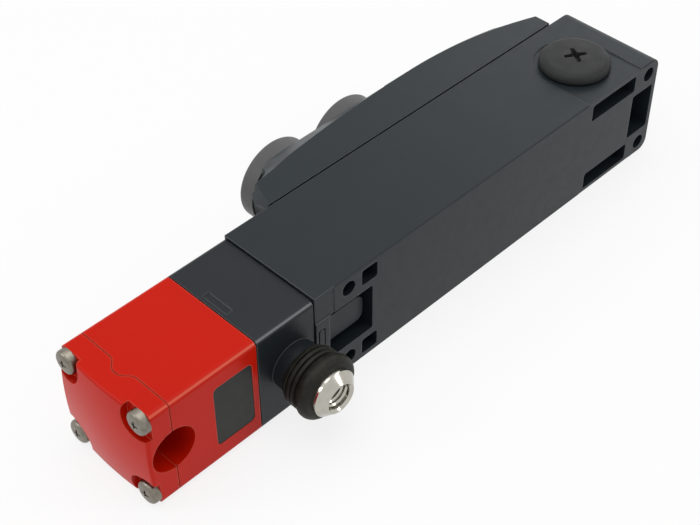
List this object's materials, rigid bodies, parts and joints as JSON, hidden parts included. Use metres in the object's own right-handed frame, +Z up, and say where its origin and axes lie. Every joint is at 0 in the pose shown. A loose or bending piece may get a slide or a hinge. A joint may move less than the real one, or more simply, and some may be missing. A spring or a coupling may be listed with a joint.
{
  "type": "guard locking safety switch",
  "caption": "Long guard locking switch with a red metal head, an escape release stem in a rubber bellows, a plugged conduit entry and push buttons on its raised front cover.",
  "frame": {"origin": "centre of the four fixing holes on the mounting face", "axes": "+X from the red head to the cable end, +Y out of the mounting face towards the front cover, +Z up across the width: the part lies on its side as in the picture"},
  "size_m": [0.2336, 0.0869, 0.044],
  "materials": {
    "red_paint": "fine texture",
    "dark_grey_plastic": "fine moulded texture",
    "bezel_grey": "satin",
    "plug_grey": "satin",
    "window_black": "smooth",
    "lens_black": "polished",
    "black_rubber": "matt",
    "bright_nickel": "plated",
    "stainless": "bright",
    "steel": "ground",
    "bronze": "sintered",
    "copper": "wound wire",
    "natural_nylon": "moulded",
    "board_green": "coated",
    "terminal_green": "moulded",
    "clear_plastic": "clear",
    "button_black": "smooth",
    "button_white": "smooth"
  },
  "bodies": {
    "switch_body": {"main_housing": "dark_grey_plastic", "front_cover": "dark_grey_plastic", "cover_gasket": "black_rubber", "cover_screws": "stainless", "release_module": "dark_grey_plastic", "module_gasket": "black_rubber", "head_body": "red_paint", "head_cap": "red_paint", "head_gasket": "black_rubber", "head_screws": "stainless", "rfid_window": "window_black", "antenna_coil": "copper", "antenna_board": "board_green", "bolt_bush": "bronze", "rod_guide": "natural_nylon", "stem_bush": "bronze", "aux_seal": "black_rubber", "solenoid_yoke": "steel", "yoke_screws": "stainless", "solenoid_bobbin": "natural_nylon", "solenoid_coil": "copper", "solenoid_core": "steel", "control_board": "board_green", "board_screws": "stainless", "terminal_blocks": "terminal_green", "terminal_screws": "stainless", "status_light_pipes": "clear_plastic", "status_lens": "lens_black", "cable_plug": "plug_grey", "plug_seal": "black_rubber", "lock_spring": "stainless", "release_bellows": "black_rubber", "button_bezel_1": "bezel_grey", "button_bezel_2": "bezel_grey", "button_spring_1": "stainless", "button_spring_2": "stainless", "button_nut_1": "bezel_grey", "button_nut_2": "bezel_grey", "contact_block_1": "natural_nylon", "contact_block_2": "natural_nylon"},
    "lock": {"lock_bolt": "steel", "lock_rod": "steel", "release_collar": "steel", "solenoid_plunger": "steel"},
    "escape_release": {"release_stem": "bright_nickel", "stem_clip": "steel"},
    "auxiliary_release": {"aux_release": "bright_nickel", "aux_clip": "steel"},
    "push_button_1": {"button_cap_1": "button_white"},
    "push_button_2": {"button_cap_2": "button_black"}
  },
  "joints": [
    {"name": "lock_bolt_slide", "type": "slide", "parent": "switch_body", "child": "lock", "axis": [-1, 0, 0], "range_m": [0, 0.0075], "deforming": ["lock_spring"]},
    {"name": "release_stem_slide", "type": "slide", "parent": "switch_body", "child": "escape_release", "axis": [0, 1, 0], "range_m": [0, 0.005], "deforming": ["release_bellows"]},
    {"name": "auxiliary_release_turn", "type": "hinge", "parent": "switch_body", "child": "auxiliary_release", "pos_m": [-0.09735, 0.0335, 0], "axis": [0, 1, 0], "range_deg": [0, 90]},
    {"name": "push_button_1_press", "type": "slide", "parent": "switch_body", "child": "push_button_1", "axis": [0, -1, 0], "range_m": [0, 0.0035], "stiffness_N_per_m": 300, "springref_m": -0.006, "deforming": ["button_spring_1"]},
    {"name": "push_button_2_press", "type": "slide", "parent": "switch_body", "child": "push_button_2", "axis": [0, -1, 0], "range_m": [0, 0.0035], "stiffness_N_per_m": 300, "springref_m": -0.006, "deforming": ["button_spring_2"]}
  ]
}
